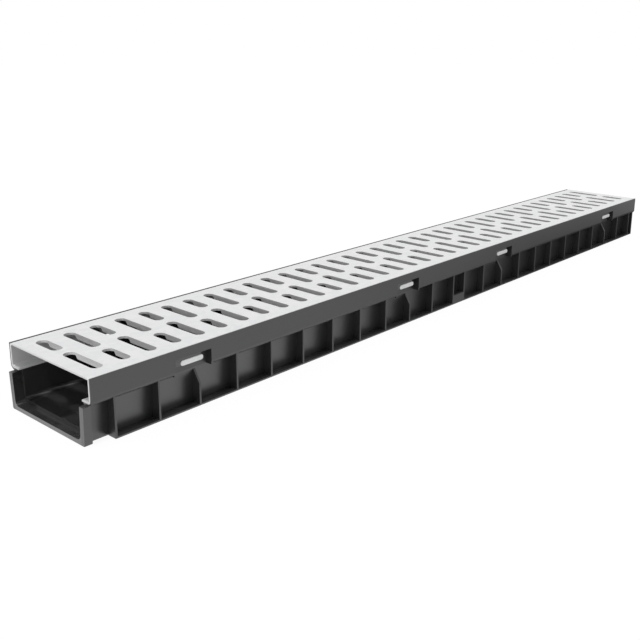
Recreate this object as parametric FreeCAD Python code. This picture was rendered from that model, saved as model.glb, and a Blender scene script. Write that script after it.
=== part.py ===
"""Channel drain, one metre: a moulded plastic channel and the slotted steel grating that sits in it.

Frame: +X runs along the channel from the socket end to the plain end, +Y is one long side,
+Z is up. The origin is the centre of the bounding box's bottom face. Millimetres throughout.
"""
import FreeCAD, Part
import math
import os

V = FreeCAD.Vector

# ---- overall sizes ----
length = 1000.0            # rim and grating length, one channel to the next
width = 120.0              # over the two rim bands
height = 57.0              # base to the top of the grating

# ---- rim that carries the grating ----
rim_skin = 1.3             # thickness of the rim band
rim_drop = 23.4            # height of the rim band, from the top down to the ledge's underside
rim_bend = 4.5             # outer radius between band and ledge
bend_flats = 3             # flats in every bend
ledge_thick = 1.6          # shelf under the grating's return flange
sit_gap = 0.2              # clearance between rim band and grating

# ---- channel trough ----
fin_depth = 9.0            # fin reach past the trough wall at the base
draft = 0.045              # outward lean of the trough walls, mm per mm of height
wall_thick = 3.0           # trough side wall
floor_thick = 2.7          # trough floor
floor_lift = 4.3           # underside of the floor above the base
floor_fillet = 4.0         # radius between wall and floor inside
flange_thick = 1.6         # foot flange along the fins

# ---- fins outside the trough ----
fin_thick = 2.0
fin_inset = 0.3            # fin edges inside the rim band's face
fin_pitch = 42.7           # nominal; the real pitch fills the run evenly
first_fin = 20.7           # from the socket end of the rim
last_fin = 18.6            # from the plain end of the rim
middle_bay = 22.7          # narrow bay in the middle
plate_height = 11.0        # plate that closes the foot of the middle bay
plate_thick = 1.6
end_fin = 6.0              # from the plain end of the rim to the middle of the last fin

# ---- ends ----
socket_out = 4.8           # socket length past the rim's end
socket_length = 7.4        # outside length of the socket
socket_flare = 3.4         # socket's outer face outside the trough wall's
socket_bore = 2.0          # socket's inner face inside the trough wall's outer face
socket_floor = 4.0         # thickness of the socket's floor
socket_top = 33.2          # height of the socket
socket_fillet = 5.0        # radius between the socket's sides and floor
spigot_out = 4.0           # plain end past the rim's end
spigot_wall = 2.0
joint_gap = 0.4            # clearance round a plain end pushed into a socket
end_gap = 0.5              # clearance in front of that plain end

# ---- locking windows in the rim band ----
window_length = 38.5
window_top = 8.7           # solid band left above a window
window_end = 100.0         # outer windows, from the rim's ends
window_mid = 100.0         # inner windows, from the middle
pocket_wall = 1.5          # end walls of the pocket behind a window
pocket_rise = 1.2          # end walls above the window's top
tongue_rise = 6.3          # wall behind a window above the ledge
cut_foot = 20.5            # height where the sloped cut of a fin under a window starts

# ---- grating ----
sheet = 1.5                # steel sheet
top_bend = 2.0             # outer radius of the upper bends
foot_bend = 3.0            # outer radius of the lower bends
return_width = 11.4        # return flange, from the outer face inwards
lug_length = 24.6          # locking lug in each window
lug_height = 5.1
lug_foot = 5.2             # above the ledge
lug_set = 0.5              # lug face inside the side wall's face
tab_set = 1.1              # face of the tab that carries the lug, likewise
tab_rise = 0.7             # foot of that tab above the lug's
notch_gap = 0.4            # clearance of the grating's notch round a pocket
slot_width = 10.4
end_flats = 4              # flats round each end of a slot
slot_pitch = 26.0          # nominal; the real pitch fills the length evenly
slot_end = 19.0            # first and last slot centre, from the grating's ends
slot_side = 13.7           # slot ends from the grating's long edge
slot_cross = 3.1           # how far a long slot passes the middle
slot_bridge = 9.8          # steel between a long slot and the short one beside it
collar_thick = 1.2
collar_drop = 5.4          # turned-down edge along a slot's straight sides
collar_end_drop = 2.5      # turned-down edge round a slot's ends
collar_slope = 3.0         # length over which the edge rises towards a slot's end

# ---- derived places ----
over = 1.0                                     # how far a cutting tool passes the face it cuts
near_end = -length / 2
far_end = length / 2
x_shift = (socket_out - spigot_out) / 2        # brings the box's middle to X = 0
half = width / 2
ledge_under = height - rim_drop
ledge_top = ledge_under + ledge_thick
fin_half = half - fin_inset
base_half = fin_half - fin_depth               # trough half width at the base
floor_top = floor_lift + floor_thick
rim_inside = half - rim_skin
inner_bend = rim_bend - rim_skin
grate_half = rim_inside - sit_gap
window_roof = height - window_top
pocket_top = window_roof + pocket_rise
tongue_top = ledge_top + tongue_rise
riser = near_end + spigot_out + end_gap         # where the socket's recess ends
fin_end = far_end - end_fin + fin_thick / 2    # outer face of the last fin
window_spots = (near_end + window_end, -window_mid, window_mid, far_end - window_end)


def wall_face(z):
    """Half width of the trough's outer wall face at height z."""
    return base_half + draft * z


def prism(points, x_low, x_high):
    """Extrude a closed outline of (y, z) points along X."""
    corners = [V(x_low, y, z) for y, z in points]
    face = Part.Face(Part.makePolygon(corners + corners[:1]))
    return face.extrude(V(x_high - x_low, 0, 0))


def box(x_low, x_high, y_low, y_high, z_low, z_high):
    """Box between two corners."""
    return Part.makeBox(x_high - x_low, y_high - y_low, z_high - z_low, V(x_low, y_low, z_low))


def mirrored(shapes):
    """The shapes with their copies on the other long side."""
    return shapes + [shape.mirror(V(0, 0, 0), V(0, 1, 0)) for shape in shapes]


def union(shapes):
    """One solid from several that touch or overlap."""
    return shapes[0].multiFuse(shapes[1:]).removeSplitter()


def bend(centre_y, centre_z, radius, start, end):
    """Points of a bend in the YZ plane between two angles in degrees, in flats."""
    turns = [math.radians(start + (end - start) * i / bend_flats) for i in range(bend_flats + 1)]
    return [(centre_y + radius * math.cos(t), centre_z + radius * math.sin(t)) for t in turns]


# ---- channel body ----
def trapezoid(z_low, z_high, inset):
    """Outline of the tapering trough, its sides set in from the outer wall faces."""
    low = wall_face(z_low) - inset
    high = wall_face(z_high) - inset
    return [(-low, z_low), (low, z_low), (high, z_high), (-high, z_high)]


def fin_places():
    """X of every fin: two even runs with the narrow bay between them."""
    start = near_end + first_fin
    end = far_end - last_fin
    run = (end - start - middle_bay) / 2
    steps = max(1, round(run / fin_pitch))
    near_run = [start + run * i / steps for i in range(steps + 1)]
    far_run = [end - run * i / steps for i in range(steps, -1, -1)]
    return near_run, far_run


def fin(x):
    """One fin, all round the trough from rim to rim."""
    outline = [(fin_half, 0), (fin_half, ledge_under + rim_bend - inner_bend / 2)]
    outline += [(half - rim_bend, ledge_under + ledge_thick / 2)]
    outline += [(-y, z) for y, z in reversed(outline)]
    return prism(outline, x - fin_thick / 2, x + fin_thick / 2)


def rim():
    """Rim band and ledge on the +Y side, one bent section."""
    inner = wall_face(ledge_top) - wall_thick
    outline = [(inner, ledge_under)]
    outline += bend(half - rim_bend, ledge_under + rim_bend, rim_bend, -90, 0)
    outline += [(half, height), (rim_inside, height)]
    outline += bend(rim_inside - inner_bend, ledge_top + inner_bend, inner_bend, 0, -90)
    outline += [(inner, ledge_top)]
    return prism(outline, near_end, far_end)


def water_way(x_low, x_high, z_low, z_high, inset, radius):
    """Tapering space with rounded corners along its floor."""
    space = prism(trapezoid(z_low, z_high, inset), x_low, x_high)
    corners = [edge for edge in space.Edges
               if all(abs(v.Point.z - z_low) < 1e-6 for v in edge.Vertexes)
               and abs(edge.Length - (x_high - x_low)) < 1e-6]
    return space.makeFillet(radius, corners)


def window(x):
    """Cut through the rim on the +Y side, with the slope that frees the fin below it."""
    slope_top = ledge_under - rim_skin
    reach = half + over
    wall = wall_face(slope_top)
    fall = (slope_top - cut_foot) / (fin_half - wall) * (reach - fin_half)
    outline = [(reach, cut_foot - fall), (wall, slope_top),
               (wall_face(window_roof), window_roof), (reach, window_roof)]
    return prism(outline, x - window_length / 2, x + window_length / 2)


def pocket(x):
    """End walls, low back wall and the guard beside the lug behind a window, +Y side."""
    inner = wall_face(ledge_under) - wall_thick
    reach = rim_inside + rim_skin / 2
    walls = []
    for side in (-1, 1):
        near = x + side * window_length / 2
        far = near + side * pocket_wall
        walls.append(box(min(near, far), max(near, far), inner, reach, ledge_under, pocket_top))
    low = wall_face(ledge_under)
    high = wall_face(tongue_top)
    back = prism([(low - wall_thick, ledge_under), (low, ledge_under), (high, tongue_top),
                  (high - wall_thick, tongue_top)],
                 x - window_length / 2 - pocket_wall, x + window_length / 2 + pocket_wall)
    guard = box(x + lug_length / 2, x + window_length / 2 + pocket_wall / 2,
                inner, inner + wall_thick, ledge_under, pocket_top)
    return walls + [back, guard]


def foot_flange(x_low, x_high):
    """Flange along the foot of the fins, +Y side."""
    return box(x_low, x_high, base_half - wall_thick / 2, fin_half, 0, flange_thick)


def socket():
    """Collar that takes the plain end of the next channel, without its recess."""
    start = near_end - socket_out
    end = start + socket_length
    collar_body = prism(trapezoid(0, socket_top, -socket_flare), start, end)
    neck = prism(trapezoid(socket_top - over, ledge_under + ledge_thick / 2, -socket_flare),
                 near_end, end)
    sill = prism(trapezoid(0, floor_top, 0), near_end, riser + spigot_wall)
    return [collar_body, neck, sill]


def spigot():
    """Plain end that goes into the next channel's socket, solid."""
    inset = socket_bore + joint_gap
    foot = socket_floor + joint_gap
    root = fin_end - fin_thick / 2
    inside = prism(trapezoid(foot, ledge_under + ledge_thick / 2, inset), root, far_end)
    outside = prism(trapezoid(foot, ledge_under - joint_gap, inset), root, far_end + spigot_out)
    return [inside, outside]


def make_body():
    """The moulded channel as one solid."""
    near_run, far_run = fin_places()
    fins = near_run + far_run + [far_end - end_fin]
    foot_start = near_run[0] - fin_thick / 2
    trough = prism(trapezoid(floor_lift, ledge_top, 0), near_end, fin_end)
    skirt = prism(trapezoid(0, floor_lift, 0), near_end, fin_end)
    hollow = prism(trapezoid(-over, floor_lift, wall_thick), near_end + over, fin_end + over)
    middle = [near_run[-1], far_run[0]]
    plate = box(middle[0], middle[1], fin_half - plate_thick, fin_half, 0, plate_height)
    shelf = box(middle[0], middle[1], wall_face(plate_height) - wall_thick / 2, fin_half,
                plate_height - plate_thick, plate_height)
    solids = [trough, skirt.cut(hollow)] + socket() + spigot() + [fin(x) for x in fins]
    solids += mirrored([rim(), plate, shelf, foot_flange(foot_start, fin_end)])
    body = union(solids)
    mouth = ledge_top + over
    spaces = [water_way(near_end - socket_out - over, riser, socket_floor, ledge_under,
                        socket_bore, socket_fillet),
              prism(trapezoid(ledge_under - over, mouth, wall_thick), near_end - over, riser),
              water_way(riser - over, fin_end, floor_top, mouth, wall_thick, floor_fillet),
              water_way(fin_end - over, far_end + spigot_out + over, floor_top, mouth,
                        socket_bore + joint_gap + spigot_wall, floor_fillet)]
    body = body.cut(Part.makeCompound(spaces))
    body = body.cut(Part.makeCompound(mirrored([window(x) for x in window_spots])))
    pockets = [piece for x in window_spots for piece in pocket(x)]
    return union([body] + mirrored(pockets))


# ---- grating ----
def stadium(y_low, y_high, radius, z_low, z_high):
    """Slot-shaped prism along Y at X = 0, its round ends in flats."""
    outline = []
    for centre, turn in ((y_high - radius, 0), (y_low + radius, 180)):
        for i in range(end_flats + 1):
            angle = math.radians(turn + 180 * i / end_flats)
            outline.append(V(radius * math.cos(angle), centre + radius * math.sin(angle), z_low))
    face = Part.Face(Part.makePolygon(outline + outline[:1]))
    return face.extrude(V(0, 0, z_high - z_low))


def collar(y_low, y_high):
    """Turned-down edge of a slot as a plug, deep along the sides and shallow at the ends."""
    radius = slot_width / 2 + collar_thick
    low, high = y_low - collar_thick, y_high + collar_thick
    plug = stadium(low, high, radius, height - collar_drop, height - sheet / 2)
    shallow = height - collar_end_drop
    deep = height - collar_drop
    trims = []
    for end, way in ((low, 1), (high, -1)):
        start = end + way * radius
        trims.append(prism([(end - way * over, deep - over), (end - way * over, shallow),
                            (start, shallow), (start + way * collar_slope, deep),
                            (start + way * collar_slope, deep - over)],
                           -radius - over, radius + over))
    return plug.cut(Part.makeCompound(trims))


def slot_rows():
    """Y spans of the slots in even and odd rows, and the X of every row."""
    edge = grate_half - slot_side
    short_end = slot_cross + slot_bridge
    even = [(short_end, edge), (-edge, slot_cross)]
    odd = [(-slot_cross, edge), (-edge, -short_end)]
    first = near_end + slot_end
    steps = max(1, round((length - 2 * slot_end) / slot_pitch))
    pitch = (length - 2 * slot_end) / steps
    return [(first + pitch * i, odd if i % 2 else even) for i in range(steps + 1)]


def folded_sheet():
    """Grating blank: flat top, side walls and return flanges, bent from one sheet."""
    rise = ledge_top + foot_bend
    wall = grate_half - foot_bend
    crown = height - top_bend
    brow = grate_half - top_bend
    edge = grate_half - return_width
    outer = [(edge, ledge_top)] + bend(wall, rise, foot_bend, -90, 0)
    outer += bend(brow, crown, top_bend, 0, 90)
    inner = bend(brow, crown, top_bend - sheet, 90, 0)
    inner += bend(wall, rise, foot_bend - sheet, 0, -90) + [(edge, ledge_top + sheet)]
    outer_left = [(-y, z) for y, z in reversed(outer)]
    inner_left = [(-y, z) for y, z in reversed(inner)]
    return prism(outer + outer_left + inner_left + inner, near_end, far_end)


def notch(x):
    """Notch round a pocket, through the +Y side wall and its return flange."""
    reach = window_length / 2 + pocket_wall + notch_gap
    return box(x - reach, x + reach, grate_half - return_width - over, grate_half + over,
               ledge_top - over, pocket_top + notch_gap)


def lug(x):
    """Locking lug with rounded ends on a tab hung from the notch's roof, +Y side."""
    radius = lug_height / 2
    middle = ledge_top + lug_foot + radius
    face = grate_half - lug_set
    bar = stadium(-lug_length / 2, lug_length / 2, radius, 0, sheet)
    bar.rotate(V(0, 0, 0), V(0, 0, 1), -90)
    bar.rotate(V(0, 0, 0), V(1, 0, 0), 90)
    bar.translate(V(x, face, middle))
    tab = box(x - window_length / 2 + notch_gap, x + lug_length / 2 - radius, face - sheet,
              grate_half - tab_set, middle - radius + tab_rise, pocket_top + notch_gap + over)
    return union([bar, tab])


def make_grating():
    """The slotted grating as one solid."""
    plugs = []
    holes = []
    for x, spans in slot_rows():
        for low, high in spans:
            plug = collar(low, high)
            hole = stadium(low, high, slot_width / 2, height - collar_drop - over, height + over)
            plug.translate(V(x, 0, 0))
            hole.translate(V(x, 0, 0))
            plugs.append(plug)
            holes.append(hole)
    grating = union([folded_sheet()] + plugs)
    grating = grating.cut(Part.makeCompound(holes))
    grating = grating.cut(Part.makeCompound(mirrored([notch(x) for x in window_spots])))
    return union([grating] + mirrored([lug(x) for x in window_spots]))


os.makedirs("parts", exist_ok=True)
for name, shape in (("channel_body", make_body()), ("slotted_grating", make_grating())):
    shape.translate(V(x_shift, 0, 0))
    shape.exportStep("parts/" + name + ".step")
    print(name, len(shape.Solids), "solid,", round(shape.Volume / 1000, 1), "cm3,",
          "valid" if shape.isValid() else "not valid", shape.BoundBox)
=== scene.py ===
"""Looks of a one metre channel drain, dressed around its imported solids."""

import logging
import math
from dataclasses import dataclass
from enum import Enum
from typing import Sequence

import bmesh
import bpy
from mathutils import Euler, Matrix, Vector
from mathutils.geometry import tessellate_polygon


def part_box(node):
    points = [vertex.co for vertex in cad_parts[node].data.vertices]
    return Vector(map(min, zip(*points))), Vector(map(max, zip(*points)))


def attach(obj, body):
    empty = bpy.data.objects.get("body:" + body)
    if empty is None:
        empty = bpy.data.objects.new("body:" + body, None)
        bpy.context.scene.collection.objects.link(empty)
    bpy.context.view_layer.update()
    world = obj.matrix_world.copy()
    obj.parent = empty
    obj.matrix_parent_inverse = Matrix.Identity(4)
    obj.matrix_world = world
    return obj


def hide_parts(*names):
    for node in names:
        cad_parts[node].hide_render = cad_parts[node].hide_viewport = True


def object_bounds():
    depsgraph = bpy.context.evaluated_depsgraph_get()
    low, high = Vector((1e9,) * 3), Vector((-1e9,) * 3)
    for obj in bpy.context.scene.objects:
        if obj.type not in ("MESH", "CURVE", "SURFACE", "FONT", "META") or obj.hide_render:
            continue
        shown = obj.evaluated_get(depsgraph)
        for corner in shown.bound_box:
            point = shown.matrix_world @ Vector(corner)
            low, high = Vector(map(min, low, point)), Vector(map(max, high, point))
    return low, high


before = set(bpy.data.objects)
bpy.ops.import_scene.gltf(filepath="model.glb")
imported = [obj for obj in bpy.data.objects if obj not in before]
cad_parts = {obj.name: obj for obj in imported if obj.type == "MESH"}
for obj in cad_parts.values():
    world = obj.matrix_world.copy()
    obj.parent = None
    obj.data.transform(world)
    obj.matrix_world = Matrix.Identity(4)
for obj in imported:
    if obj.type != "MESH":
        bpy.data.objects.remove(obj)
CAD_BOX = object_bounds()

LOG = logging.getLogger("channel_drain")
MM = 0.001
JOIN_MM = 1e-5          # points closer than this are one, in millimetres
JOIN_M = 2e-6           # the same for finished meshes, in metres
CREASE = 35.0           # edges that turn more than this stay sharp, in degrees
STRAIGHT = math.radians(89)
QUARTER = (0.0, math.pi / 6, math.pi / 3, math.pi / 2)
Point = tuple[float, float]
Corner = tuple[float, float, float]
Colour = tuple[float, float, float, float]


class Cut(Enum):
    """How one solid acts on another."""

    JOIN = "UNION"
    TAKE = "DIFFERENCE"


# ---------------------------------------------------------------- node trees


class Signal:
    """A node's output that adds Math nodes when it is used in a sum."""

    def __init__(self, sheet: "NodeSheet", socket: bpy.types.NodeSocket) -> None:
        """Keep the tree and the socket.

        Args:
            sheet: the tree that the socket belongs to.
            socket: the output to compute with.
        """
        self.sheet = sheet
        self.socket = socket

    def math(self, operation: str, *others: "Signal | float") -> "Signal":
        """Result of one Math node.

        Args:
            operation: the Math node's operation.
            others: its remaining operands.

        Returns:
            The node's output.
        """
        values = dict(enumerate((self, *others)))
        return self.sheet.out("ShaderNodeMath", {"operation": operation}, values)

    def _swapped(self, operation: str, other: float) -> "Signal":
        """Result of a Math node with this signal as its second operand."""
        return self.sheet.out("ShaderNodeMath", {"operation": operation}, {0: other, 1: self})

    def __add__(self, other: "Signal | float") -> "Signal":
        """Sum."""
        return self.math("ADD", other)

    def __radd__(self, other: float) -> "Signal":
        """Sum with a number first."""
        return self.math("ADD", other)

    def __sub__(self, other: "Signal | float") -> "Signal":
        """Difference."""
        return self.math("SUBTRACT", other)

    def __rsub__(self, other: float) -> "Signal":
        """Difference with a number first."""
        return self._swapped("SUBTRACT", other)

    def __mul__(self, other: "Signal | float") -> "Signal":
        """Product."""
        return self.math("MULTIPLY", other)

    def __rmul__(self, other: float) -> "Signal":
        """Product with a number first."""
        return self.math("MULTIPLY", other)

    def __gt__(self, other: "Signal | float") -> "Signal":
        """1 where this is greater, else 0."""
        return self.math("GREATER_THAN", other)

    def __lt__(self, other: "Signal | float") -> "Signal":
        """1 where this is less, else 0."""
        return self.math("LESS_THAN", other)


class NodeSheet:
    """Adds nodes and links to one node tree."""

    def __init__(self, tree: bpy.types.NodeTree) -> None:
        """Keep the tree.

        Args:
            tree: the shader or geometry tree to build in.
        """
        self.tree = tree

    def node(self, kind: str, settings: dict[str, object] | None = None,
             values: dict[str | int, object] | None = None) -> bpy.types.Node:
        """Add one node.

        Args:
            kind: the node's type.
            settings: properties that are set before its sockets.
            values: numbers, vectors or signals for its sockets, by name or place.

        Returns:
            The new node.
        """
        node = self.tree.nodes.new(kind)
        for name, value in (settings or {}).items():
            setattr(node, name, value)
        for key, value in (values or {}).items():
            if isinstance(value, Signal):
                self.tree.links.new(value.socket, node.inputs[key])
            else:
                node.inputs[key].default_value = value
        return node

    def out(self, kind: str, settings: dict[str, object] | None = None,
            values: dict[str | int, object] | None = None,
            output: str | int = 0) -> Signal:
        """Add one node and give one of its outputs.

        Args:
            kind: the node's type.
            settings: properties that are set before its sockets.
            values: numbers, vectors or signals for its sockets.
            output: the output's name or place.

        Returns:
            That output.
        """
        return Signal(self, self.node(kind, settings, values).outputs[output])

    def ramp(self, value: Signal, low: Signal | float, high: Signal | float) -> Signal:
        """Smooth step from 0 at low to 1 at high.

        Args:
            value: what is compared.
            low: where the step starts.
            high: where it ends.

        Returns:
            The step.
        """
        settings = {"interpolation_type": "SMOOTHSTEP"}
        values = {"Value": value, "From Min": low, "From Max": high}
        return self.out("ShaderNodeMapRange", settings, values)

    def blend(self, factor: Signal | float, first: object, second: object) -> Signal:
        """Mix of two colours.

        Args:
            factor: share of the second colour.
            first: colour or signal.
            second: colour or signal.

        Returns:
            The mixed colour.
        """
        settings = {"data_type": "RGBA"}
        return self.out("ShaderNodeMix", settings, {0: factor, 6: first, 7: second}, 2)

    def axes(self, vector: Signal) -> tuple[Signal, Signal, Signal]:
        """X, Y and Z of a vector."""
        split = self.node("ShaderNodeSeparateXYZ", values={"Vector": vector})
        x, y, z = (Signal(self, split.outputs[name]) for name in "XYZ")
        return x, y, z

    def direct_rays(self) -> Signal:
        """1 for rays from the camera, off a mirror or through glass, else 0."""
        path = self.node("ShaderNodeLightPath")
        seen = [Signal(self, path.outputs[name]) for name in
                ("Is Camera Ray", "Is Glossy Ray", "Is Transmission Ray")]
        return seen[0].math("MAXIMUM", seen[1]).math("MAXIMUM", seen[2])

    def dress(self, colour: Signal, roughness: Signal, bump: Signal) -> None:
        """Lead colour, roughness and bump to the tree's own shader."""
        shader = self.tree.nodes["Principled BSDF"]
        for socket, signal in (("Base Color", colour), ("Roughness", roughness),
                               ("Normal", bump)):
            self.tree.links.new(signal.socket, shader.inputs[socket])


# ---------------------------------------------------------------- mesh tools


def rounded(corners: Sequence[Corner], steps: int = 6) -> list[Point]:
    """Outline whose corners are replaced by arcs.

    Args:
        corners: (y, z, radius) of each corner, in order round the outline.
        steps: flats in each arc.

    Returns:
        Points (y, z) of the rounded outline.
    """
    outline: list[Point] = []
    for i, (y, z, radius) in enumerate(corners):
        here = Vector((y, z))
        back = Vector(corners[i - 1][:2]) - here
        ahead = Vector(corners[(i + 1) % len(corners)][:2]) - here
        back.normalize()
        ahead.normalize()
        half_angle = back.angle(ahead) / 2
        if radius == 0 or half_angle > STRAIGHT:
            outline.append((y, z))
            continue
        middle = here + (back + ahead).normalized() * radius / math.sin(half_angle)
        tangent = radius / math.tan(half_angle)
        start = here + back * tangent - middle
        turn = start.angle_signed(here + ahead * tangent - middle)
        for step in range(steps + 1):
            angle = -turn * step / steps
            outline.append((middle.x + start.x * math.cos(angle) - start.y * math.sin(angle),
                            middle.y + start.x * math.sin(angle) + start.y * math.cos(angle)))
    return outline


def mirrored(half: Sequence[Corner]) -> list[Corner]:
    """Whole outline from the corners of its +Y half."""
    return list(half) + [(-y, z, radius) for y, z, radius in reversed(half)]


def placed(name: str, shape: bmesh.types.BMesh) -> bpy.types.Object:
    """Object in the scene from a shape in metres.

    Args:
        name: the object's name.
        shape: its mesh, which is freed.

    Returns:
        The object.
    """
    mesh = bpy.data.meshes.new(name)
    shape.to_mesh(mesh)
    shape.free()
    obj = bpy.data.objects.new(name, mesh)
    bpy.context.scene.collection.objects.link(obj)
    return obj


def new_object(name: str, shape: bmesh.types.BMesh) -> bpy.types.Object:
    """Object in the scene from a shape in millimetres.

    Args:
        name: the object's name.
        shape: its mesh, which is freed.

    Returns:
        The object, in metres.
    """
    bmesh.ops.remove_doubles(shape, verts=shape.verts, dist=JOIN_MM)
    bmesh.ops.recalc_face_normals(shape, faces=shape.faces)
    bmesh.ops.scale(shape, vec=(MM, MM, MM), verts=shape.verts)
    return placed(name, shape)


def prism(name: str, outline: Sequence[Point], x_low: float, x_high: float) -> bpy.types.Object:
    """Closed prism along X.

    Args:
        name: the object's name.
        outline: points (y, z) of its section.
        x_low: where it starts.
        x_high: where it ends.

    Returns:
        The prism.
    """
    shape = bmesh.new()
    rings = [[shape.verts.new((x, y, z)) for y, z in outline] for x in (x_low, x_high)]
    for i, vertex in enumerate(rings[0]):
        shape.faces.new((rings[0][i - 1], vertex, rings[1][i], rings[1][i - 1]))
    for ring in rings:
        shape.faces.new(ring)
    return new_object(name, shape)


def box(name: str, low: Sequence[float], high: Sequence[float]) -> bpy.types.Object:
    """Box between two corners."""
    outline = [(low[1], low[2]), (high[1], low[2]), (high[1], high[2]), (low[1], high[2])]
    return prism(name, outline, low[0], high[0])


def settled(obj: bpy.types.Object) -> bpy.types.Object:
    """The object with its modifiers turned into plain mesh.

    Args:
        obj: an object with modifiers.

    Returns:
        The same object, without them.
    """
    graph = bpy.context.evaluated_depsgraph_get()
    mesh = bpy.data.meshes.new_from_object(obj.evaluated_get(graph))
    old = obj.data
    obj.modifiers.clear()
    obj.data = mesh
    mesh.name = obj.name
    bpy.data.meshes.remove(old)
    return obj


def softened(obj: bpy.types.Object, width: float, steps: int = 2,
             angle: float = 50.0) -> bpy.types.Object:
    """The object with its sharp edges rounded.

    Args:
        obj: a closed solid.
        width: how far the rounding reaches, in millimetres.
        steps: flats in the rounding.
        angle: edges that turn less than this stay, in degrees.

    Returns:
        The same object.
    """
    bevel = obj.modifiers.new("edge", "BEVEL")
    bevel.width = width * MM
    bevel.segments = steps
    bevel.limit_method = "ANGLE"
    bevel.angle_limit = math.radians(angle)
    return settled(obj)


def combined(base: bpy.types.Object, tools: Sequence[bpy.types.Object],
             cut: Cut) -> bpy.types.Object:
    """The base after solids are joined to it or taken from it.

    Args:
        base: the solid that changes.
        tools: the solids that act on it, which are deleted.
        cut: whether they are joined or taken away.

    Returns:
        The base.
    """
    for tool in tools:
        action = base.modifiers.new("cut", "BOOLEAN")
        action.operation = cut.value
        action.solver = "MANIFOLD"
        action.object = tool
        settled(base)
        bpy.data.objects.remove(tool)
    return base


def merged(name: str, parts: Sequence[bpy.types.Object]) -> bpy.types.Object:
    """One object from several that only lie side by side.

    Args:
        name: the new object's name.
        parts: the objects, which are deleted.

    Returns:
        The new object.
    """
    shape = bmesh.new()
    for part in parts:
        shape.from_mesh(part.data)
        bpy.data.objects.remove(part)
    return placed(name, shape)


def finished(obj: bpy.types.Object, name: str, finish: bpy.types.Material) -> None:
    """Name a whole piece, give it its finish and shade it smooth between its creases.

    Args:
        obj: the piece.
        name: its name.
        finish: its only material.
    """
    obj.name = name
    obj.data.materials.clear()
    obj.data.materials.append(finish)
    obj.data.shade_smooth()
    obj.data.set_sharp_from_angle(angle=math.radians(CREASE))
    normals = obj.modifiers.new("even", "WEIGHTED_NORMAL")
    normals.keep_sharp = True
    settled(obj)


# ---------------------------------------------------------------- repeats


@dataclass(frozen=True)
class Row:
    """Places of what repeats along the channel, in millimetres."""

    count: int
    first: float
    pitch: float
    split: int = 0
    middle_step: float = 0.0
    turn_odd: bool = False
    both_sides: bool = False
    weld: bool = False

    def repeat(self, obj: bpy.types.Object, finish: bpy.types.Material) -> bpy.types.Object:
        """The object's mesh at every place of the row.

        Args:
            obj: one copy, at X = 0.
            finish: the material of all copies.

        Returns:
            The same object, with the whole row as plain mesh.
        """
        tree = row_tree()
        step = self.middle_step - self.pitch if self.split else 0.0
        values = {"Count": self.count, "First": self.first * MM, "Pitch": self.pitch * MM,
                  "Split": self.split, "Extra Step": step * MM, "Turn Odd": self.turn_odd,
                  "Both Sides": self.both_sides, "Weld": self.weld, "Finish": finish}
        modifier = obj.modifiers.new("row", "NODES")
        modifier.node_group = tree
        for item in tree.interface.items_tree:
            if item.in_out == "INPUT" and item.name in values:
                modifier[item.identifier] = values[item.name]
        return settled(obj)


def row_tree() -> bpy.types.NodeTree:
    """Geometry nodes that repeat a mesh along X, made once.

    Returns:
        The tree, whose inputs are the row's sizes.
    """
    name = "row along the channel"
    if name in bpy.data.node_groups:
        return bpy.data.node_groups[name]
    tree = bpy.data.node_groups.new(name, "GeometryNodeTree")
    kinds = {"Geometry": "Geometry", "Count": "Int", "First": "Float", "Pitch": "Float",
             "Split": "Int", "Extra Step": "Float", "Turn Odd": "Bool", "Both Sides": "Bool",
             "Weld": "Bool", "Finish": "Material"}
    for title, kind in kinds.items():
        tree.interface.new_socket(title, in_out="INPUT", socket_type="NodeSocket" + kind)
    tree.interface.new_socket("Geometry", in_out="OUTPUT", socket_type="NodeSocketGeometry")
    sheet = NodeSheet(tree)
    entry = sheet.node("NodeGroupInput")
    given = {title: Signal(sheet, entry.outputs[title]) for title in kinds}
    index = sheet.out("GeometryNodeInputIndex")
    past_middle = (index + 0.5) > given["Split"]
    along = given["First"] + index * given["Pitch"] + past_middle * given["Extra Step"]
    place = sheet.out("ShaderNodeCombineXYZ", values={"X": along})
    points = sheet.out("GeometryNodePoints", values={"Count": given["Count"], "Position": place})
    odd = index.math("MODULO", 2.0) * given["Turn Odd"]
    turn = sheet.out("ShaderNodeCombineXYZ", values={"Z": odd * math.pi})
    copies = sheet.out("GeometryNodeInstanceOnPoints",
                       values={"Points": points, "Instance": given["Geometry"], "Rotation": turn})
    plain = sheet.out("GeometryNodeRealizeInstances", values={"Geometry": copies})
    mirror = sheet.out("GeometryNodeTransform",
                       values={"Geometry": plain, "Scale": (1.0, -1.0, 1.0)})
    other = sheet.out("GeometryNodeFlipFaces", values={"Mesh": mirror})
    second = sheet.out("GeometryNodeSwitch", {"input_type": "GEOMETRY"},
                       {"Switch": given["Both Sides"], "True": other})
    join = sheet.node("GeometryNodeJoinGeometry")
    tree.links.new(plain.socket, join.inputs[0])
    tree.links.new(second.socket, join.inputs[0])
    joined = Signal(sheet, join.outputs[0])
    welded = sheet.out("GeometryNodeMergeByDistance",
                       values={"Geometry": joined, "Distance": JOIN_M})
    closed = sheet.out("GeometryNodeSwitch", {"input_type": "GEOMETRY"},
                       {"Switch": given["Weld"], "False": joined, "True": welded})
    solid = sheet.out("GeometryNodeRealizeInstances", values={"Geometry": closed})
    dressed = sheet.out("GeometryNodeSetMaterial",
                        values={"Geometry": solid, "Material": given["Finish"]})
    sheet.node("NodeGroupOutput", values={"Geometry": dressed})
    return tree


# ---------------------------------------------------------------- finishes


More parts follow.
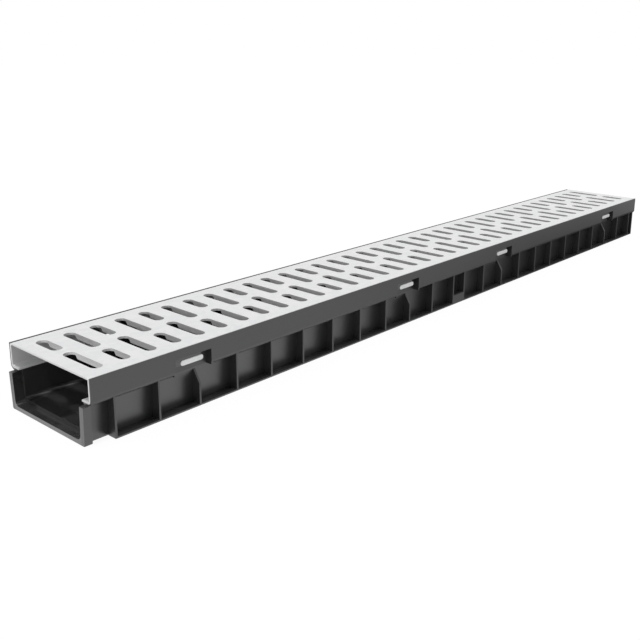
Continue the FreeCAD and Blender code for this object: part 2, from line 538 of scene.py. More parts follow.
@dataclass(frozen=True)
class MouldedPlastic:
    """Near-black moulded polypropylene with a satin sheen."""

    name: str = "moulded_plastic"
    colour: Colour = (0.010, 0.010, 0.011, 1.0)
    worn: Colour = (0.016, 0.016, 0.016, 1.0)
    # painted light: the lighter colour of the socket's end face
    painted_end_light: Colour = (0.060, 0.060, 0.060, 1.0)
    gloss: float = 0.80
    roughness: float = 0.40
    core_colour: Colour = (0.024, 0.024, 0.024, 1.0)
    core_roughness: float = 0.07
    core_half: float = 0.0500
    core_top: float = 0.0345
    grain_scale: float = 1400.0
    grain_detail: float = 2.0
    flow_scale: float = 14.0
    flow_detail: float = 4.0
    flow_stretch: float = 0.25
    flow_band: tuple[float, float] = (0.35, 0.70)
    unevenness: float = 0.04
    grain_strength: float = 0.10
    grain_depth: float = 0.00005
    painted_light_before: float = -0.5030
    bay_wall: tuple[float, float] = (0.0497, 0.0565)
    bay_top: float = 0.0335
    bay_lean: float = 0.16
    bay_roughness: float = 0.27
    square_on: float = 0.9

    def material(self) -> bpy.types.Material:
        """Build the material.

        The bay walls between the fins are glossier, with normals that lean along the channel,
        so that each fin shows its dark mirror image beside it.

        Returns:
            The plastic, with flow marks, fine grain and painted light on the socket's end face.
        """
        made = bpy.data.materials.new(self.name)
        made.use_nodes = True
        sheet = NodeSheet(made.node_tree)
        shader = made.node_tree.nodes["Principled BSDF"]
        shader.inputs["Specular IOR Level"].default_value = self.gloss
        place = sheet.out("ShaderNodeTexCoord", output="Object")
        grain = sheet.out("ShaderNodeTexNoise", values={
            "Vector": place, "Scale": self.grain_scale, "Detail": self.grain_detail})
        stretch = sheet.out("ShaderNodeMapping", values={
            "Vector": place, "Scale": (self.flow_stretch, 1.0, 1.0)})
        flow = sheet.out("ShaderNodeTexNoise", values={
            "Vector": stretch, "Scale": self.flow_scale, "Detail": self.flow_detail})
        marks = sheet.ramp(flow, *self.flow_band)
        along, side, height = sheet.axes(place)
        geometry = sheet.node("ShaderNodeNewGeometry")
        ahead, outward, _ = sheet.axes(Signal(sheet, geometry.outputs["True Normal"]))
        across = side.math("ABSOLUTE")
        core = (across < self.core_half) * (height < self.core_top)
        base = sheet.blend(core, sheet.blend(marks, self.colour, self.worn), self.core_colour)
        # Painted light: the socket's end face, which faces the near end, is painted lighter.
        end_face = (ahead < -self.square_on) * (along < self.painted_light_before)
        colour = sheet.blend(end_face, base, self.painted_end_light)
        upright = outward.math("ABSOLUTE") > self.square_on
        low, high = self.bay_wall
        bay = (across > low) * (across < high) * upright * (height < self.bay_top)
        texture = self.roughness + core * (self.core_roughness - self.roughness) + bay * (
            self.bay_roughness - self.roughness)
        roughness = texture + marks * self.unevenness + grain * self.unevenness
        lean = sheet.out("ShaderNodeCombineXYZ", values={"X": bay * self.bay_lean})
        leant = sheet.out("ShaderNodeVectorMath", {"operation": "ADD"}, {
            0: Signal(sheet, geometry.outputs["Normal"]), 1: lean})
        hollow = sheet.out("ShaderNodeVectorMath", {"operation": "NORMALIZE"}, {0: leant})
        bump = sheet.out("ShaderNodeBump", values={
            "Height": grain, "Strength": self.grain_strength, "Distance": self.grain_depth,
            "Normal": hollow})
        sheet.dress(colour, roughness, bump)
        return made


@dataclass(frozen=True)
class ZincCoat:
    """Galvanised sheet with faint spangle; painted shade inside, on cut edges and in recesses."""

    name: str = "zinc_coat"
    pale: Colour = (0.655, 0.655, 0.655, 1.0)
    dull: Colour = (0.61, 0.615, 0.62, 1.0)
    roughness: float = 0.48
    metallic: float = 0.35
    # painted shade: the dark colour of outward faces in the recess behind each window
    painted_recess_shade: Colour = (0.09, 0.09, 0.09, 1.0)
    recess: tuple[float, float] = (0.0560, 0.05745)
    recess_top: float = 0.0500
    # painted shade: the darker colour of upright faces inside the sheet, its slot walls and cut
    # edges
    lip: Colour = (0.56, 0.56, 0.56, 1.0)
    lip_half: float = 0.0555
    spangle_scale: float = 160.0
    spangle_bend: float = 0.004
    spangle_bend_scale: float = 90.0
    spangle_share: float = 0.35
    streak_scale: float = 480.0
    streak_detail: float = 3.0
    streak_stretch: float = 0.06
    streak_share: float = 0.30
    cloud_scale: float = 15.0
    cloud_detail: float = 3.0
    cloud_share: float = 0.35
    dull_band: tuple[float, float] = (0.25, 0.75)
    spangle_texture: float = 0.05
    streak_texture: float = 0.08
    relief_strength: float = 0.06
    relief_depth: float = 0.0001
    upright_below: float = 0.3
    inward_below: float = -0.02

    def material(self) -> bpy.types.Material:
        """Build the material.

        Returns:
            The zinc, with crystals, rolling streaks, a fine bump and painted shade.
        """
        made = bpy.data.materials.new(self.name)
        made.use_nodes = True
        sheet = NodeSheet(made.node_tree)
        shader = made.node_tree.nodes["Principled BSDF"]
        shader.inputs["Metallic"].default_value = self.metallic
        place = sheet.out("ShaderNodeTexCoord", output="Object")
        warp = sheet.out("ShaderNodeTexNoise", {}, {
            "Vector": place, "Scale": self.spangle_bend_scale}, "Color")
        bent = sheet.out("ShaderNodeVectorMath", {"operation": "MULTIPLY_ADD"}, {
            0: warp, 1: (self.spangle_bend,) * 3, 2: place})
        crystals = sheet.out("ShaderNodeTexVoronoi", {}, {
            "Vector": bent, "Scale": self.spangle_scale}, "Color")
        shade = sheet.out("ShaderNodeSeparateColor", values={0: crystals})
        stretch = sheet.out("ShaderNodeMapping", values={
            "Vector": place, "Scale": (self.streak_stretch, 1.0, 1.0)})
        streaks = sheet.out("ShaderNodeTexNoise", values={
            "Vector": stretch, "Scale": self.streak_scale, "Detail": self.streak_detail})
        clouds = sheet.out("ShaderNodeTexNoise", values={
            "Vector": place, "Scale": self.cloud_scale, "Detail": self.cloud_detail})
        mix = (shade * self.spangle_share + streaks * self.streak_share
               + clouds * self.cloud_share)
        _, side, height = sheet.axes(place)
        geometry = sheet.node("ShaderNodeNewGeometry")
        _, outward, up = sheet.axes(Signal(sheet, geometry.outputs["True Normal"]))
        across = side.math("ABSOLUTE")
        turned = side * outward
        low, high = self.recess
        # Painted shade: outward faces in the recess behind each window are painted dark.
        recess = (across > low) * (across < high) * (turned > 0.0) * (height < self.recess_top)
        upright = up.math("ABSOLUTE") < self.upright_below
        within = (across < self.lip_half).math("MAXIMUM", turned < self.inward_below)
        flat = sheet.blend(sheet.ramp(mix, *self.dull_band), self.pale, self.dull)
        # Painted shade: upright faces inside the sheet, its slot walls and cut edges are painted
        # darker.
        coat = sheet.blend(upright * within, flat, self.lip)
        colour = sheet.blend(recess, coat, self.painted_recess_shade)
        roughness = (self.roughness + shade * self.spangle_texture
                     + (streaks - 0.5) * self.streak_texture)
        bump = sheet.out("ShaderNodeBump", values={
            "Height": mix, "Strength": self.relief_strength, "Distance": self.relief_depth})
        sheet.dress(colour, roughness, bump)
        return made


# ---------------------------------------------------------------- the drain


@dataclass(frozen=True)
class Overall:
    """Places shared by trough and grating, in millimetres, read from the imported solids."""

    near: float
    far: float
    half: float
    top: float
    grate_half: float
    ledge_top: float

    @classmethod
    def from_solids(cls) -> "Overall":
        """Read the shared places.

        Returns:
            The places.
        """
        grate_low, grate_high = (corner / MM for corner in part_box("slotted_grating"))
        body_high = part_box("channel_body")[1] / MM
        return cls(near=grate_low.x, far=grate_high.x, half=body_high.y, top=body_high.z,
                   grate_half=grate_high.y, ledge_top=grate_low.z)

    @property
    def middle(self) -> float:
        """X of the rim's middle."""
        return (self.near + self.far) / 2


@dataclass
class Windows:
    """Locking windows in the rim, with their pockets."""

    overall: Overall
    count: int = 4
    first_back: float = 400.0
    pitch: float = 300.0
    middle_step: float = 200.0
    length: float = 38.5
    roof_drop: float = 8.7
    lip: float = 0.8
    pocket_wall: float = 1.5
    pocket_rise: float = 1.2
    tongue_rise: float = 6.3
    cut_foot: float = 20.5
    lug_length: float = 24.6
    notch_gap: float = 0.4
    guard_rise: float = 2.8
    guard_reach: float = 8.0

    @property
    def row(self) -> Row:
        """The places on each long side."""
        return Row(count=self.count, first=self.overall.middle - self.first_back,
                   pitch=self.pitch, split=self.count // 2, middle_step=self.middle_step,
                   both_sides=True)

    @property
    def roof(self) -> float:
        """Height of a window's upper edge."""
        return self.overall.top - self.roof_drop


@dataclass
class ChannelBody:
    """The moulded trough with its fins, rim, socket and plain end."""

    overall: Overall
    windows: Windows
    finish: bpy.types.Material
    rim_skin: float = 1.3
    rim_bend: float = 4.5
    ledge_thick: float = 1.6
    draft: float = 0.045
    fin_inset: float = 0.3
    fin_depth: float = 9.0
    fin_thick: float = 2.0
    fin_count: int = 24
    first_fin: float = 20.7
    last_fin: float = 18.6
    middle_bay: float = 22.7
    end_fin: float = 6.0
    wall: float = 3.0
    floor_lift: float = 4.3
    floor_top: float = 7.0
    floor_fillet: float = 4.0
    foot_round: float = 2.6
    flange: float = 1.6
    plate_height: float = 11.0
    plate: float = 1.6
    socket_out: float = 4.8
    socket_length: float = 7.4
    socket_flare: float = 3.4
    socket_bore: float = 2.0
    socket_floor: float = 4.0
    socket_top: float = 33.2
    socket_fillet: float = 5.0
    spigot_out: float = 4.0
    spigot_wall: float = 2.0
    joint_gap: float = 0.4
    end_gap: float = 0.5
    skirt_round: float = 1.0
    collar_round: float = 1.5
    spigot_round: float = 4.0
    shoulder: float = 0.65
    tongue_round: Point = (1.6, 0.8)
    fin_edge: float = 0.3
    foot_edge: float = 0.25
    pocket_edge: float = 0.2
    collar_edge: float = 0.4
    blunt: float = 70.0
    arc: int = 8
    foot_arc: int = 5
    over: float = 1.0
    edge: float = 0.35

    @property
    def ledge_under(self) -> float:
        """Height of the ledge's underside."""
        return self.overall.ledge_top - self.ledge_thick

    @property
    def fin_half(self) -> float:
        """Half width over the fins."""
        return self.overall.half - self.fin_inset

    @property
    def fin_start(self) -> float:
        """X of the first fin's middle."""
        return self.overall.near + self.first_fin

    @property
    def fin_run(self) -> float:
        """Length of all the even bays together."""
        return self.overall.far - self.last_fin - self.fin_start - self.middle_bay

    @property
    def fin_end(self) -> float:
        """Outer face of the last fin."""
        return self.overall.far - self.end_fin + self.fin_thick / 2

    @property
    def riser(self) -> float:
        """X of the step at the socket's back."""
        return self.overall.near + self.spigot_out + self.end_gap

    def face(self, z: float) -> float:
        """Half width of the trough's outer wall at a height."""
        return self.fin_half - self.fin_depth + self.draft * z

    def tapered(self, low: float, high: float, inset: float, foot: float,
                brow: float = 0.0) -> list[Point]:
        """Section of the tapering trough.

        Args:
            low: its lowest height.
            high: its highest height.
            inset: how far its sides lie inside the outer wall.
            foot: radius of its lower corners.
            brow: radius of its upper corners.

        Returns:
            Points of the section.
        """
        half = [(self.face(low) - inset, low, foot), (self.face(high) - inset, high, brow)]
        return rounded(mirrored(half), self.arc)

    def trough(self) -> bpy.types.Object:
        """Walls, floor and skirts, up to the ledge."""
        base = self.face(0)
        half = [(base - self.wall, self.floor_lift, self.skirt_round),
                (base - self.wall, 0, self.edge), (base, 0, self.foot_round),
                (self.face(self.overall.ledge_top), self.overall.ledge_top, 0)]
        outline = rounded(mirrored(half), self.foot_arc)
        return prism("trough", outline, self.overall.near, self.fin_end)

    def rim(self) -> bpy.types.Object:
        """Rim bands and ledges of both long sides."""
        band = self.overall.half
        inside = band - self.rim_skin
        inner = self.face(self.overall.ledge_top) - self.wall
        half = [(inner, self.ledge_under, 0), (band, self.ledge_under, self.rim_bend),
                (band, self.overall.top, self.edge), (inside, self.overall.top, self.edge),
                (inside, self.overall.ledge_top, self.rim_bend - self.rim_skin),
                (inner, self.overall.ledge_top, 0)]
        sides = []
        for way in (1, -1):
            outline = [(way * y, z) for y, z in rounded(half, self.arc)]
            side = prism("rim", outline, self.overall.near, self.overall.far)
            sides.append(softened(side, self.edge / 2, angle=self.blunt))
        return merged("rim", sides)

    def fins(self) -> bpy.types.Object:
        """All the fins, each one piece under the floor from rim to rim."""
        top = self.ledge_under + self.ledge_thick / 2
        shoulder = self.ledge_under + self.rim_bend * self.shoulder
        outer = [(self.fin_half, 0, 0), (self.fin_half, shoulder, 0),
                 (self.overall.half - self.rim_bend, top, 0)]
        core = [(self.face(top) - self.wall / 2, top, 0),
                (self.face(self.floor_top) - self.wall / 2, self.floor_lift + self.over, 0)]
        outline = [corner[:2] for corner in mirrored(outer + core)]
        half = self.fin_thick / 2
        fin = softened(prism("fins", outline, -half, half), self.fin_edge)
        row = Row(count=self.fin_count, first=self.fin_start,
                  pitch=self.fin_run / (self.fin_count - 2), split=self.fin_count // 2,
                  middle_step=self.middle_bay)
        last = prism("last fin", outline, self.fin_end - self.fin_thick, self.fin_end)
        return merged("fins", [row.repeat(fin, self.finish), softened(last, self.fin_edge)])

    def feet(self) -> list[bpy.types.Object]:
        """Foot flanges, and the plate and shelf that close the narrow middle bay."""
        start = self.fin_start
        middle = start + self.fin_run / 2
        bay = (middle, middle + self.middle_bay)
        inner = self.face(0) - self.wall / 2
        parts = []
        for way in (1, -1):
            spans = ((start - self.fin_thick / 2, self.fin_end, inner, 0, self.flange),
                     (*bay, self.fin_half - self.plate, 0, self.plate_height),
                     (*bay, inner, self.plate_height - self.plate, self.plate_height))
            for low, high, y, foot, head in spans:
                ys = sorted((way * y, way * self.fin_half))
                part = box("foot", (low, ys[0], foot), (high, ys[1], head))
                parts.append(softened(part, self.foot_edge))
        return parts

    def socket(self) -> list[bpy.types.Object]:
        """Collar that takes the next channel's plain end, before it is hollowed."""
        start = self.overall.near - self.socket_out
        end = start + self.socket_length
        collar = prism("socket", self.tapered(0, self.socket_top, -self.socket_flare,
                                              self.collar_round), start, end)
        neck = prism("neck", self.tapered(self.socket_top - self.over,
                                          self.ledge_under + self.ledge_thick / 2,
                                          -self.socket_flare, 0), self.overall.near, end)
        sill = prism("sill", self.tapered(0, self.floor_top, 0, self.foot_round),
                     self.overall.near, self.riser + self.spigot_wall)
        return [softened(collar, self.collar_edge), neck, sill]

    def spigot(self) -> list[bpy.types.Object]:
        """Plain end that goes into the next channel's socket, before it is hollowed."""
        inset = self.socket_bore + self.joint_gap
        foot = self.socket_floor + self.joint_gap
        root = self.fin_end - self.fin_thick / 2
        top = self.ledge_under
        inner = self.tapered(foot, top + self.ledge_thick / 2, inset, self.spigot_round)
        outer = self.tapered(foot, top - self.joint_gap, inset, self.spigot_round)
        inside = prism("spigot root", inner, root, self.overall.far)
        outside = prism("spigot", outer, root, self.overall.far + self.spigot_out)
        return [inside, softened(outside, self.fin_edge, angle=self.blunt)]

    def hollows(self) -> list[bpy.types.Object]:
        """Spaces for the water, the socket's recess and the hollow under the floor."""
        near, far = self.overall.near, self.overall.far
        mouth = self.overall.ledge_top + self.over
        plain = self.socket_bore + self.joint_gap + self.spigot_wall
        recess = self.tapered(self.socket_floor, self.ledge_under, self.socket_bore,
                              self.socket_fillet)
        throat = self.tapered(self.ledge_under - self.over, mouth, self.wall, 0)
        water = self.tapered(self.floor_top, mouth, self.wall, self.floor_fillet)
        outlet = self.tapered(self.floor_top, mouth, plain, self.floor_fillet)
        return [prism("recess", recess, near - self.socket_out - self.over, self.riser),
                prism("throat", throat, near - self.over, self.riser + self.over),
                prism("water", water, self.riser, self.fin_end),
                prism("outlet", outlet, self.fin_end - self.over,
                      far + self.spigot_out + self.over)]

    def window_cutter(self) -> bpy.types.Object:
        """Solid that cuts one window, its flared roof and the slope of the fin under it."""
        top = self.ledge_under - self.rim_skin
        reach = self.overall.half + self.over
        wall = self.face(top)
        windows = self.windows
        fall = (top - windows.cut_foot) / (self.fin_half - wall) * (reach - self.fin_half)
        roof, lip, half = windows.roof, windows.lip, self.overall.half
        flare = [(half - lip * (1 - math.cos(a)), roof + lip * (1 - math.sin(a)))
                 for a in QUARTER]
        outline = [(reach, windows.cut_foot - fall), (wall, top), (self.face(roof), roof)]
        outline += flare[::-1] + [(reach, roof + lip)]
        cutter = prism("window", outline, -windows.length / 2, windows.length / 2)
        return windows.row.repeat(cutter, self.finish)

    def pockets(self) -> bpy.types.Object:
        """Walls of the pockets behind the windows."""
        windows = self.windows
        inner = self.face(self.ledge_under) - self.wall
        reach = self.overall.half - self.rim_skin / 2
        rise = windows.roof + windows.pocket_rise
        parts = []
        for way in (-1, 1):
            xs = sorted((way * windows.length / 2,
                         way * (windows.length / 2 + windows.pocket_wall)))
            end = box("pocket end", (xs[0], inner, self.ledge_under), (xs[1], reach, rise))
            parts.append(softened(end, self.pocket_edge))
        low, top = self.ledge_under, self.overall.ledge_top + windows.tongue_rise
        outside, inside = self.tongue_round
        back = rounded([(self.face(low) - self.wall, low, 0), (self.face(low), low, 0),
                        (self.face(top), top, outside),
                        (self.face(top) - self.wall, top, inside)])
        reach_x = windows.length / 2 + windows.pocket_wall / 2
        parts.append(prism("pocket back", back, -reach_x, reach_x))
        guard = box("guard", (windows.lug_length / 2 - windows.guard_reach, inner, low),
                    (reach_x, inner + self.wall, rise + windows.guard_rise))
        parts.append(softened(guard, self.pocket_edge))
        pocket = combined(parts[0], parts[1:], Cut.JOIN)
        return windows.row.repeat(pocket, self.finish)

    def build(self) -> bpy.types.Object:
        """Make the whole moulding.

        Returns:
            One closed piece.
        """
        body = self.trough()
        parts = [self.rim(), self.fins(), *self.feet(), *self.socket(), *self.spigot()]
        combined(body, parts, Cut.JOIN)
        combined(body, self.hollows(), Cut.TAKE)
        combined(body, [self.window_cutter()], Cut.TAKE)
        combined(body, [self.pockets()], Cut.JOIN)
        finished(body, "moulded_channel", self.finish)
        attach(body, "root")
        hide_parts("channel_body")
        return body


@dataclass
class Slot:
    """One slot with its turned-down edge, as rings of points."""

    low: float
    high: float
    width: float = 10.4
    lead: float = 0.35
    sheet: float = 1.5
    collar: float = 1.2
    lip: float = 0.25
    drop: float = 5.4
    end_drop: float = 2.5
    slope: float = 3.0
    arc_steps: int = 12
    slope_steps: int = 4

    def stations(self) -> list[tuple[float, float, float, float]]:
        """Points round the slot at its straight wall.

        Returns:
            (x, y, outward x, outward y) of each point, anticlockwise from above.
        """
        radius = self.width / 2
        top, foot = self.high - radius, self.low + radius
        ring = []
        for centre, start in ((top, 0.0), (foot, math.pi)):
            for i in range(self.arc_steps + 1):
                angle = start + math.pi * i / self.arc_steps
                out = (math.cos(angle), math.sin(angle))
                ring.append((radius * out[0], centre + radius * out[1], *out))
            way = -1 if start == 0 else 1
            marks = [self.slope * i / self.slope_steps for i in range(1, self.slope_steps + 1)]
            run = top - foot
            for along in marks + [run - mark for mark in reversed(marks)]:
                ring.append((way * radius, centre + way * along, float(way), 0.0))
        return ring

    def depth(self, y: float) -> float:
        """How deep the turned-down edge is at a place along the slot."""
        radius = self.width / 2
        inside = min(self.high - radius - y, y - self.low - radius)
        share = max(0.0, min(1.0, inside / self.slope))
        return self.end_drop + (self.drop - self.end_drop) * share * share * (3 - 2 * share)

    def rings(self, top: float) -> list[list[Vector]]:
        """Rings from the sheet's top, down the slot and up its outside to the underside.

        Args:
            top: height of the sheet's top.

        Returns:
            One list of points for each ring.
        """
        levels = [(self.lead * (1 - math.sin(a)), self.lead * (1 - math.cos(a)))
                  for a in QUARTER]
        stations = self.stations()
        rings = [[Vector((x + ox * out, y + oy * out, top - down)) for x, y, ox, oy in stations]
                 for out, down in levels]
        for out, lift in ((0.0, self.lip), (self.lip, 0.0), (self.collar - self.lip, 0.0),
                          (self.collar, self.lip)):
            rings.append([Vector((x + ox * out, y + oy * out, top - self.depth(y) + lift))
                          for x, y, ox, oy in stations])
        rings.append([Vector((x + ox * self.collar, y + oy * self.collar, top - self.sheet))
                      for x, y, ox, oy in stations])
        return rings


@dataclass
class SlottedGrating:
    """The folded sheet with its rows of slots and its locking lugs."""

    overall: Overall
    windows: Windows
    finish: bpy.types.Material
    sheet: float = 1.5
    top_bend: float = 2.0
    foot_bend: float = 3.0
    return_width: float = 11.4
    pitch: float = 26.0
    rows: int = 38
    slot_side: float = 13.7
    slot_cross: float = 3.1
    slot_bridge: float = 9.8
    lug_height: float = 5.1
    lug_foot: float = 5.2
    lug_set: float = 0.5
    tab_set: float = 1.1
    tab_rise: float = 0.7
    lug_crown: tuple[Point, ...] = ((0.9, 0.0), (0.35, 0.2), (0.0, 0.7))
    bend_steps: int = 6
    lug_steps: int = 12
    over: float = 1.0

    def chains(self) -> tuple[list[Point], list[Point]]:
        """Outer and inner lines of the folded section, with the same number of points.

        Returns:
            Points (y, z) from the -Y return flange over the top to the +Y one.
        """
        half, foot, top = self.overall.grate_half, self.overall.ledge_top, self.overall.top
        edge = half - self.return_width
        lines = []
        for inset in (0.0, self.sheet):
            line = [(edge, foot + inset)]
            for centre, radius, start in (
                    ((half - self.foot_bend, foot + self.foot_bend), self.foot_bend, -90),
                    ((half - self.top_bend, top - self.top_bend), self.top_bend, 0)):
                for i in range(self.bend_steps + 1):
                    angle = math.radians(start + 90 * i / self.bend_steps)
                    line.append((centre[0] + (radius - inset) * math.cos(angle),
                                 centre[1] + (radius - inset) * math.sin(angle)))
            lines.append([(-y, z) for y, z in line] + line[::-1])
        return lines[0], lines[1]

    def swept(self, shape: bmesh.types.BMesh, x_low: float, x_high: float,
              caps: Sequence[float], open_top: bool) -> None:
        """Add the folded section between two places along X.

        Args:
            shape: the mesh to add to.
            x_low: where it starts.
            x_high: where it ends.
            caps: the ends that are closed.
            open_top: leaves out the flat top and underside.
        """
        outer, inner = self.chains()
        brow = len(outer) // 2 - 1
        for chain in (outer, inner):
            for i in range(len(chain) - 1):
                if not (open_top and i == brow):
                    quad = [(x_low, *chain[i]), (x_high, *chain[i]),
                            (x_high, *chain[i + 1]), (x_low, *chain[i + 1])]
                    shape.faces.new([shape.verts.new(corner) for corner in quad])
        for i in (0, -1):
            quad = [(x_low, *outer[i]), (x_high, *outer[i]), (x_high, *inner[i]),
                    (x_low, *inner[i])]
            shape.faces.new([shape.verts.new(corner) for corner in quad])
        for x in caps:
            for i in range(len(outer) - 1):
                quad = [(x, *outer[i]), (x, *outer[i + 1]), (x, *inner[i + 1]), (x, *inner[i])]
                shape.faces.new([shape.verts.new(corner) for corner in quad])

    def plate(self, shape: bmesh.types.BMesh, rings: Sequence[Sequence[Vector]], z: float,
              half_width: float) -> None:
        """Add a flat face round two slots.

        Args:
            shape: the mesh to add to.
            rings: the slots' edges in this face.
            z: its height.
            half_width: where it meets the bends.
        """
        reach = self.pitch / 2
        frame_line = [Vector((x, y, z)) for x, y in (
            (-reach, -half_width), (reach, -half_width), (reach, half_width),
            (-reach, half_width))]
        lines = [frame_line] + [list(reversed(ring)) for ring in rings]
        points = [point for line in lines for point in line]
        vertices = [shape.verts.new(point) for point in points]
        for corners in tessellate_polygon(lines):
            shape.faces.new([vertices[i] for i in corners])

    def strip(self) -> bpy.types.Object:
        """One row: a short slot on the +Y side and a long one on the -Y side."""
        edge = self.overall.grate_half - self.slot_side
        slots = [Slot(self.slot_cross + self.slot_bridge, edge), Slot(-edge, self.slot_cross)]
        shape = bmesh.new()
        self.swept(shape, -self.pitch / 2, self.pitch / 2, (), True)
        sets = [slot.rings(self.overall.top) for slot in slots]
        for rings in sets:
            made = [[shape.verts.new(point) for point in ring] for ring in rings]
            for upper, lower in zip(made, made[1:]):
                for i in range(len(upper)):
                    shape.faces.new((upper[i - 1], upper[i], lower[i], lower[i - 1]))
        brow = self.overall.grate_half - self.top_bend
        self.plate(shape, [rings[0] for rings in sets], self.overall.top, brow)
        self.plate(shape, [rings[-1] for rings in sets], self.overall.top - self.sheet, brow)
        return new_object("slotted_sheet", shape)

    def ends(self) -> bpy.types.Object:
        """Plain stretches of the sheet before the first and after the last row."""
        reach = self.rows * self.pitch / 2
        shape = bmesh.new()
        middle = self.overall.middle
        self.swept(shape, self.overall.near, middle - reach, (self.overall.near,), False)
        self.swept(shape, middle + reach, self.overall.far, (self.overall.far,), False)
        return new_object("sheet_ends", shape)

    def notches(self) -> bpy.types.Object:
        """Solids that cut the sheet's sides round the pockets."""
        windows = self.windows
        reach = windows.length / 2 + windows.pocket_wall + windows.notch_gap
        half = self.overall.grate_half
        roof = windows.roof + windows.pocket_rise + windows.notch_gap
        notch = box("notch", (-reach, half - self.return_width - self.over,
                              self.overall.ledge_top - self.over),
                    (reach, half + self.over, roof))
        return windows.row.repeat(notch, self.finish)

    def lugs(self) -> bpy.types.Object:
        """Locking lugs with rounded ends, each on a tab that hangs from the sheet."""
        windows = self.windows
        radius = self.lug_height / 2
        middle = self.overall.ledge_top + self.lug_foot + radius
        straight = windows.lug_length / 2 - radius
        front = self.overall.grate_half - self.lug_set
        shape = bmesh.new()
        rings = []
        for shrink, back in (*self.lug_crown, (0.0, self.sheet)):
            ring = []
            for centre, start in ((straight, -90), (-straight, 90)):
                for i in range(self.lug_steps + 1):
                    angle = math.radians(start + 180 * i / self.lug_steps)
                    ring.append(shape.verts.new((
                        centre + (radius - shrink) * math.cos(angle), front - back,
                        middle + (radius - shrink) * math.sin(angle))))
            rings.append(ring)
        for first, second in zip(rings, rings[1:]):
            for i in range(len(first)):
                shape.faces.new((first[i - 1], first[i], second[i], second[i - 1]))
        shape.faces.new(rings[0])
        shape.faces.new(rings[-1])
        bar = new_object("locking_lugs", shape)
        roof = windows.roof + windows.pocket_rise + windows.notch_gap + self.over
        tab = box("tab", (windows.notch_gap - windows.length / 2, front - self.sheet,
                          middle - radius + self.tab_rise),
                  (straight, self.overall.grate_half - self.tab_set, roof))
        combined(bar, [tab], Cut.JOIN)
        return windows.row.repeat(bar, self.finish)

    def build(self) -> bpy.types.Object:
        """Make the whole grating.

        Returns:
            One closed piece.
        """
        first = self.overall.middle - (self.rows - 1) * self.pitch / 2
        row = Row(count=self.rows, first=first, pitch=self.pitch, turn_odd=True, weld=True)
        strips = row.repeat(self.strip(), self.finish)
        grating = merged("slotted_sheet", [strips, self.ends()])
        shape = bmesh.new()
        shape.from_mesh(grating.data)
        bmesh.ops.remove_doubles(shape, verts=shape.verts, dist=JOIN_M)
        bmesh.ops.recalc_face_normals(shape, faces=shape.faces)
        shape.to_mesh(grating.data)
        shape.free()
        combined(grating, [self.notches()], Cut.TAKE)
        combined(grating, [self.lugs()], Cut.JOIN)
        finished(grating, "folded_grating", self.finish)
        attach(grating, "root")
        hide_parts("slotted_grating")
        return grating


# ---------------------------------------------------------------- studio


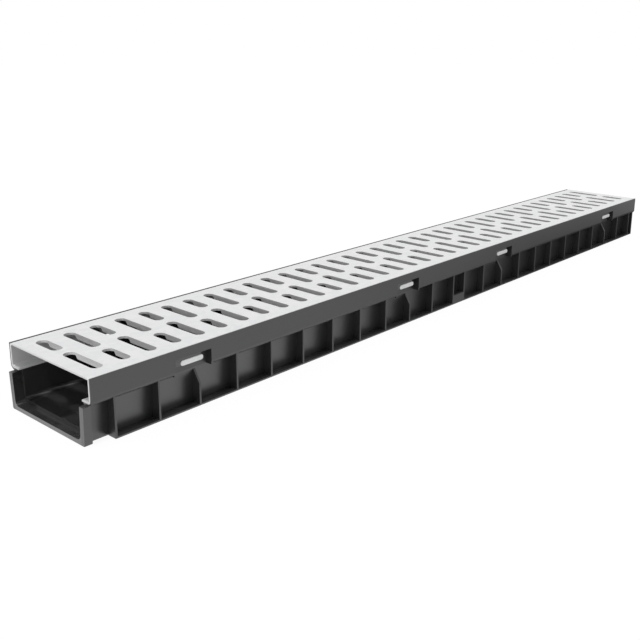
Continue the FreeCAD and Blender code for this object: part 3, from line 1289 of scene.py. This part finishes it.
@dataclass
class Studio:
    """Pale floor, white surroundings, soft overhead light and the camera."""

    floor_size: float = 12.0
    floor_colour: Colour = (0.93, 0.93, 0.93, 1.0)
    close: tuple[float, float] = (1.35, 0.10)
    shade_span: tuple[float, float] = (-0.45, 0.40)
    shade_near: tuple[float, float] = (0.030, 0.100)
    shade_far: tuple[float, float] = (0.060, 0.160)
    bright: tuple[float, float] = (1.36, 0.80)
    glow_share: float = 0.92
    world_light: float = 0.80
    key_strength: float = 1.5
    key_angle: float = 3.5
    key_tilt: tuple[float, float] = (7.0, -5.2)
    key_height: float = 1.5
    camera_place: tuple[float, float, float] = (-0.83502, -0.60671, 0.31523)
    camera_turn: tuple[float, float, float] = (74.855, -0.5391, -49.1335)
    lens: float = 48.853
    shift: tuple[float, float] = (-0.04547, -0.08835)
    clip: float = 0.01

    def floor_glow(self, sheet: NodeSheet) -> Signal:
        """Level of the floor's own light, as the camera and the finishes mirror it.

        The camera sees full white. A mirrored floor is darker close to the drain, and the
        two pairs of each value belong to the near and the far end.

        Args:
            sheet: the floor's shader tree.

        Returns:
            The level.
        """
        along, across, _ = sheet.axes(sheet.out("ShaderNodeTexCoord", output="Object"))
        aside = (across.math("ABSOLUTE") - CAD_BOX[1][1]).math(
            "MAXIMUM", along.math("ABSOLUTE") - CAD_BOX[1][0])
        share = sheet.ramp(along, *self.shade_span)

        def between(near: float, far: float) -> Signal:
            """Value that goes from the near end's to the far end's."""
            return share * (far - near) + near

        start, end = (between(*pair) for pair in zip(self.shade_near, self.shade_far))
        lit = sheet.ramp(aside, start, end)
        bright, close = between(*self.bright), between(*self.close)
        mirrored_level = lit * (bright - close) + close
        plain = sheet.out("ShaderNodeLightPath", output="Is Camera Ray")
        return plain * (1.0 - mirrored_level) + mirrored_level

    def floor(self) -> bpy.types.Object:
        """Pale floor that stays white to the camera but keeps a faint shadow.

        Returns:
            The floor.
        """
        shape = bmesh.new()
        reach = self.floor_size / 2
        corners = [(-reach, -reach), (reach, -reach), (reach, reach), (-reach, reach)]
        ground = CAD_BOX[0][2]
        shape.faces.new([shape.verts.new((x, y, ground)) for x, y in corners])
        obj = placed("floor", shape)
        made = bpy.data.materials.new("pale_floor")
        made.use_nodes = True
        tree = made.node_tree
        tree.nodes.remove(tree.nodes["Principled BSDF"])
        sheet = NodeSheet(tree)
        matt = sheet.out("ShaderNodeBsdfDiffuse", values={"Color": self.floor_colour})
        level = self.floor_glow(sheet)
        tone = sheet.out("ShaderNodeCombineXYZ", values={"X": level, "Y": level, "Z": level})
        glow = sheet.out("ShaderNodeEmission", values={"Color": tone, "Strength": 1.0})
        share = sheet.direct_rays() * self.glow_share
        mix = sheet.out("ShaderNodeMixShader", values={0: share, 1: matt, 2: glow})
        tree.links.new(mix.socket, tree.nodes["Material Output"].inputs["Surface"])
        obj.data.materials.append(made)
        return obj

    def world(self) -> None:
        """White surroundings, at full white where they are seen directly."""
        world = bpy.data.worlds.new("surroundings")
        world.use_nodes = True
        bpy.context.scene.world = world
        sheet = NodeSheet(world.node_tree)
        back = world.node_tree.nodes["Background"]
        back.inputs["Color"].default_value = (1, 1, 1, 1)
        strength = self.world_light + sheet.direct_rays() * (1.0 - self.world_light)
        world.node_tree.links.new(strength.socket, back.inputs["Strength"])

    def key(self) -> bpy.types.Object:
        """Soft overhead light."""
        lamp = bpy.data.lights.new("overhead", "SUN")
        lamp.energy = self.key_strength
        lamp.angle = math.radians(self.key_angle)
        obj = bpy.data.objects.new("overhead", lamp)
        across, along = (math.radians(angle) for angle in self.key_tilt)
        obj.rotation_euler = Euler((across, along, 0.0))
        obj.location = (0.0, 0.0, self.key_height)
        bpy.context.scene.collection.objects.link(obj)
        return obj

    def camera(self) -> bpy.types.Object:
        """Camera at the product view."""
        data = bpy.data.cameras.new("camera")
        data.lens = self.lens
        data.shift_x, data.shift_y = self.shift
        data.clip_start = self.clip
        obj = bpy.data.objects.new("camera", data)
        obj.location = self.camera_place
        obj.rotation_euler = Euler([math.radians(angle) for angle in self.camera_turn])
        bpy.context.scene.collection.objects.link(obj)
        bpy.context.scene.camera = obj
        return obj

    def build(self) -> None:
        """Set up floor, light and camera."""
        bpy.context.scene.view_settings.view_transform = "Standard"
        self.world()
        self.floor()
        self.key()
        self.camera()


def main() -> None:
    """Build the drain and its studio."""
    logging.basicConfig(level=logging.INFO, format="%(name)s: %(message)s")
    overall = Overall.from_solids()
    windows = Windows(overall)
    body = ChannelBody(overall, windows, MouldedPlastic().material()).build()
    LOG.info("%s: %d faces", body.name, len(body.data.polygons))
    grating = SlottedGrating(overall, windows, ZincCoat().material()).build()
    LOG.info("%s: %d faces", grating.name, len(grating.data.polygons))
    Studio().build()
    LOG.info("studio ready")


if __name__ == "__main__":
    main()
